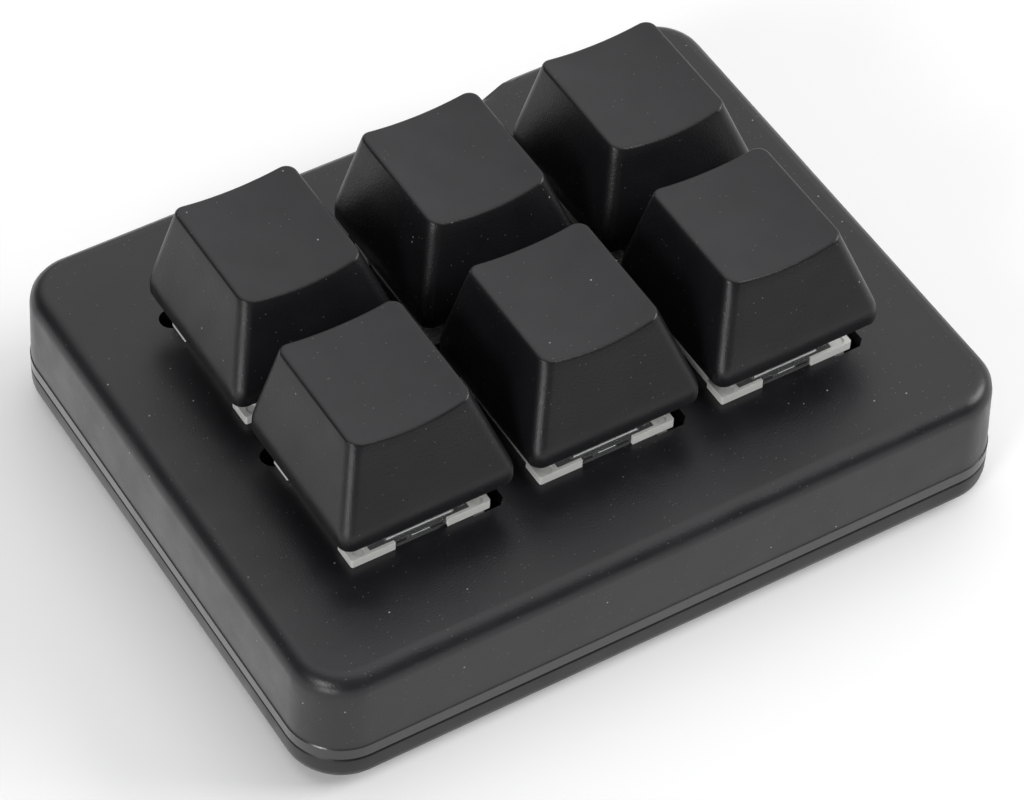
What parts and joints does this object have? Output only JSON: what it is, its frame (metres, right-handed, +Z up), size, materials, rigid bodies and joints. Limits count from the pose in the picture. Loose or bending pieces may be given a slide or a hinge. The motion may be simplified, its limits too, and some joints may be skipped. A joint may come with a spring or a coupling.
{
  "type": "macro keypad",
  "caption": "Low desk keypad of black plastic with two rows of sprung mechanical keys under blank dished caps, a thin grey trim ring and a data socket at the back.",
  "frame": {"origin": "middle of the footprint, on the surface that the rubber feet stand on", "axes": "+X along a row of keys to the right, +Y to the back with the data socket, +Z up"},
  "size_m": [0.0768, 0.0618, 0.0285],
  "materials": {
    "case": "satin, fine grain",
    "trim": "half gloss",
    "keycap": "fine spark grain, smoother top",
    "switch_base": "satin",
    "switch_cover": "clear",
    "stem": "satin",
    "spring": "drawn wire",
    "contact": "rolled sheet",
    "board": "solder mask",
    "chip": "moulded",
    "lamp": "clear moulded",
    "socket_metal": "plated sheet",
    "socket_plastic": "moulded",
    "screw": "blackened",
    "foot": "matt"
  },
  "bodies": {
    "housing": {"upper_case": "case", "trim_ring": "trim", "bottom_cover": "case", "case_screws": "screw", "rubber_feet": "foot", "circuit_board": "board", "socket_shell": "socket_metal", "socket_tongue": "socket_plastic", "controller_chip": "chip", "lamps": "lamp", "switch_base_front_left": "switch_base", "switch_cover_front_left": "switch_cover", "fixed_contact_front_left": "contact", "moving_contact_front_left": "contact", "spring_front_left": "spring", "switch_base_front_middle": "switch_base", "switch_cover_front_middle": "switch_cover", "fixed_contact_front_middle": "contact", "moving_contact_front_middle": "contact", "spring_front_middle": "spring", "switch_base_front_right": "switch_base", "switch_cover_front_right": "switch_cover", "fixed_contact_front_right": "contact", "moving_contact_front_right": "contact", "spring_front_right": "spring", "switch_base_back_left": "switch_base", "switch_cover_back_left": "switch_cover", "fixed_contact_back_left": "contact", "moving_contact_back_left": "contact", "spring_back_left": "spring", "switch_base_back_middle": "switch_base", "switch_cover_back_middle": "switch_cover", "fixed_contact_back_middle": "contact", "moving_contact_back_middle": "contact", "spring_back_middle": "spring", "switch_base_back_right": "switch_base", "switch_cover_back_right": "switch_cover", "fixed_contact_back_right": "contact", "moving_contact_back_right": "contact", "spring_back_right": "spring"},
    "key_front_left": {"keycap_front_left": "keycap", "stem_front_left": "stem"},
    "key_front_middle": {"keycap_front_middle": "keycap", "stem_front_middle": "stem"},
    "key_front_right": {"keycap_front_right": "keycap", "stem_front_right": "stem"},
    "key_back_left": {"keycap_back_left": "keycap", "stem_back_left": "stem"},
    "key_back_middle": {"keycap_back_middle": "keycap", "stem_back_middle": "stem"},
    "key_back_right": {"keycap_back_right": "keycap", "stem_back_right": "stem"}
  },
  "joints": [
    {"name": "key_front_left_press", "type": "slide", "parent": "housing", "child": "key_front_left", "axis": [0, 0, -1], "range_m": [0, 0.004], "stiffness_N_per_m": 75, "springref_m": -0.004, "deforming": ["spring_front_left"]},
    {"name": "key_front_middle_press", "type": "slide", "parent": "housing", "child": "key_front_middle", "axis": [0, 0, -1], "range_m": [0, 0.004], "stiffness_N_per_m": 75, "springref_m": -0.004, "deforming": ["spring_front_middle"]},
    {"name": "key_front_right_press", "type": "slide", "parent": "housing", "child": "key_front_right", "axis": [0, 0, -1], "range_m": [0, 0.004], "stiffness_N_per_m": 75, "springref_m": -0.004, "deforming": ["spring_front_right"]},
    {"name": "key_back_left_press", "type": "slide", "parent": "housing", "child": "key_back_left", "axis": [0, 0, -1], "range_m": [0, 0.004], "stiffness_N_per_m": 75, "springref_m": -0.004, "deforming": ["spring_back_left"]},
    {"name": "key_back_middle_press", "type": "slide", "parent": "housing", "child": "key_back_middle", "axis": [0, 0, -1], "range_m": [0, 0.004], "stiffness_N_per_m": 75, "springref_m": -0.004, "deforming": ["spring_back_middle"]},
    {"name": "key_back_right_press", "type": "slide", "parent": "housing", "child": "key_back_right", "axis": [0, 0, -1], "range_m": [0, 0.004], "stiffness_N_per_m": 75, "springref_m": -0.004, "deforming": ["spring_back_right"]}
  ]
}
